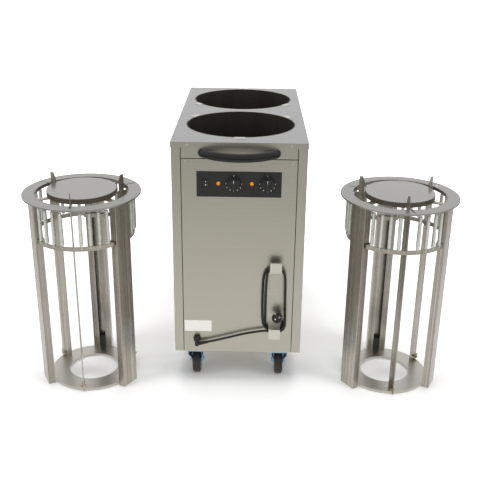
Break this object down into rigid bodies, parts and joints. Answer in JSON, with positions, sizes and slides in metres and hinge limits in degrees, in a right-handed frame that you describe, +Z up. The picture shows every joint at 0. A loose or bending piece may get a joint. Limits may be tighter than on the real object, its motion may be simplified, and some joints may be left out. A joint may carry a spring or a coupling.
{
  "type": "plate warmer cabinet",
  "caption": "Heated plate warmer: tall steel cabinet on swivel casters with round wells, knobs, bow handle and hung cord, with lift-out spring plate dispensers",
  "frame": {"origin": "on the floor, at the middle of the footprint of the cabinet and the dispensers beside it", "axes": "+Z up, +X to the right along the line of cabinet and dispensers, -Y out of the control face"},
  "size_m": [1.4688, 1.0042, 0.8882],
  "materials": {
    "deck_steel": "satin",
    "body_steel": "brushed",
    "well_black": "matt",
    "pan_steel": "heat darkened",
    "heater_rod": "matt",
    "bright_steel": "polished",
    "fascia_grey": "satin",
    "switch_black": "gloss",
    "lamp_orange": "gloss",
    "moulding_cream": "matt",
    "knob_black": "satin",
    "handle_black": "satin",
    "cord_black": "satin",
    "label_white": "matt",
    "caster_zinc": "bright zinc",
    "wheel_rubber": "matt",
    "rack_steel": "brushed",
    "spring_steel": "bright",
    "stop_rubber": "matt",
    "nylon": "satin"
  },
  "bodies": {
    "cabinet": {"top_deck": "deck_steel", "left_side_panel": "body_steel", "right_side_panel": "body_steel", "rear_panel": "body_steel", "front_upper_panel": "body_steel", "front_panel": "body_steel", "base_tray": "body_steel", "front_well_liner": "well_black", "rear_well_liner": "well_black", "heater_pans": "pan_steel", "heating_elements": "heater_rod", "well_clips": "bright_steel", "control_fascia": "fascia_grey", "rocker_switch_body": "switch_black", "pilot_lamps": "lamp_orange", "thermostats": "moulding_cream", "push_handle": "handle_black", "upper_cord_hook": "bright_steel", "lower_cord_hook": "bright_steel", "cable_gland": "cord_black", "power_cord": "cord_black", "cord_hank": "cord_black", "mains_plug": "cord_black", "rating_plate": "label_white", "panel_screws": "bright_steel", "caster_plates": "caster_zinc"},
    "rocker": {"switch_rocker": "switch_black"},
    "front_well_knob": {"left_knob": "knob_black"},
    "rear_well_knob": {"right_knob": "knob_black"},
    "front_left_swivel": {"front_left_fork": "caster_zinc"},
    "front_left_wheel": {"front_left_wheel": "wheel_rubber"},
    "front_left_brake": {"front_left_brake_pedal": "caster_zinc"},
    "front_right_swivel": {"front_right_fork": "caster_zinc"},
    "front_right_wheel": {"front_right_wheel": "wheel_rubber"},
    "front_right_brake": {"front_right_brake_pedal": "caster_zinc"},
    "rear_left_swivel": {"rear_left_fork": "caster_zinc"},
    "rear_left_wheel": {"rear_left_wheel": "wheel_rubber"},
    "rear_right_swivel": {"rear_right_fork": "caster_zinc"},
    "rear_right_wheel": {"rear_right_wheel": "wheel_rubber"},
    "left_dispenser": {"left_top_flange": "rack_steel", "left_base_ring": "rack_steel", "left_channels": "rack_steel", "left_guide_bars": "rack_steel", "left_wing_nuts": "bright_steel", "left_bump_stops": "stop_rubber", "left_springs": "spring_steel"},
    "left_carrier": {"left_carrier_disc": "rack_steel", "left_carrier_frame": "rack_steel", "left_guide_shoes": "nylon"},
    "right_dispenser": {"right_top_flange": "rack_steel", "right_base_ring": "rack_steel", "right_channels": "rack_steel", "right_guide_bars": "rack_steel", "right_wing_nuts": "bright_steel", "right_bump_stops": "stop_rubber", "right_springs": "spring_steel"},
    "right_carrier": {"right_carrier_disc": "rack_steel", "right_carrier_frame": "rack_steel", "right_guide_shoes": "nylon"}
  },
  "joints": [
    {"name": "rocker_pivot", "type": "hinge", "parent": "cabinet", "child": "rocker", "pos_m": [-0.113, -0.38225, 0.751], "axis": [1, 0, 0], "range_deg": [0, 16]},
    {"name": "front_well_knob_turn", "type": "hinge", "parent": "cabinet", "child": "front_well_knob", "pos_m": [-0.022, -0.38375, 0.751], "axis": [0, 1, 0], "range_deg": [0, 270]},
    {"name": "rear_well_knob_turn", "type": "hinge", "parent": "cabinet", "child": "rear_well_knob", "pos_m": [0.0872, -0.38375, 0.751], "axis": [0, 1, 0], "range_deg": [0, 270]},
    {"name": "front_left_swivel", "type": "hinge", "parent": "cabinet", "child": "front_left_swivel", "pos_m": [-0.153, -0.33975, 0.118], "axis": [0, 0, 1], "continuous": true},
    {"name": "front_left_roll", "type": "hinge", "parent": "front_left_swivel", "child": "front_left_wheel", "pos_m": [-0.153, -0.30175, 0.05], "axis": [1, 0, 0], "continuous": true},
    {"name": "front_left_brake_press", "type": "hinge", "parent": "front_left_swivel", "child": "front_left_brake", "pos_m": [-0.153, -0.31175, 0.108], "axis": [-1, 0, 0], "range_deg": [0, 18]},
    {"name": "front_right_swivel", "type": "hinge", "parent": "cabinet", "child": "front_right_swivel", "pos_m": [0.143, -0.33975, 0.118], "axis": [0, 0, 1], "continuous": true},
    {"name": "front_right_roll", "type": "hinge", "parent": "front_right_swivel", "child": "front_right_wheel", "pos_m": [0.143, -0.30175, 0.05], "axis": [1, 0, 0], "continuous": true},
    {"name": "front_right_brake_press", "type": "hinge", "parent": "front_right_swivel", "child": "front_right_brake", "pos_m": [0.143, -0.31175, 0.108], "axis": [-1, 0, 0], "range_deg": [0, 18]},
    {"name": "rear_left_swivel", "type": "hinge", "parent": "cabinet", "child": "rear_left_swivel", "pos_m": [-0.153, 0.45625, 0.118], "axis": [0, 0, 1], "continuous": true},
    {"name": "rear_left_roll", "type": "hinge", "parent": "rear_left_swivel", "child": "rear_left_wheel", "pos_m": [-0.153, 0.41825, 0.05], "axis": [1, 0, 0], "continuous": true},
    {"name": "rear_right_swivel", "type": "hinge", "parent": "cabinet", "child": "rear_right_swivel", "pos_m": [0.143, 0.45625, 0.118], "axis": [0, 0, 1], "continuous": true},
    {"name": "rear_right_roll", "type": "hinge", "parent": "rear_right_swivel", "child": "rear_right_wheel", "pos_m": [0.143, 0.41825, 0.05], "axis": [1, 0, 0], "continuous": true},
    {"name": "left_dispenser_lift", "type": "slide", "parent": "cabinet", "child": "left_dispenser", "axis": [0, 0, 1], "range_m": [0, 0.95]},
    {"name": "left_carrier_travel", "type": "slide", "parent": "left_dispenser", "child": "left_carrier", "axis": [0, 0, -1], "range_m": [0, 0.49], "stiffness_N_per_m": 900, "springref_m": -0.05, "deforming": ["left_springs"]},
    {"name": "right_dispenser_lift", "type": "slide", "parent": "cabinet", "child": "right_dispenser", "axis": [0, 0, 1], "range_m": [0, 0.95]},
    {"name": "right_carrier_travel", "type": "slide", "parent": "right_dispenser", "child": "right_carrier", "axis": [0, 0, -1], "range_m": [0, 0.49], "stiffness_N_per_m": 900, "springref_m": -0.05, "deforming": ["right_springs"]}
  ]
}
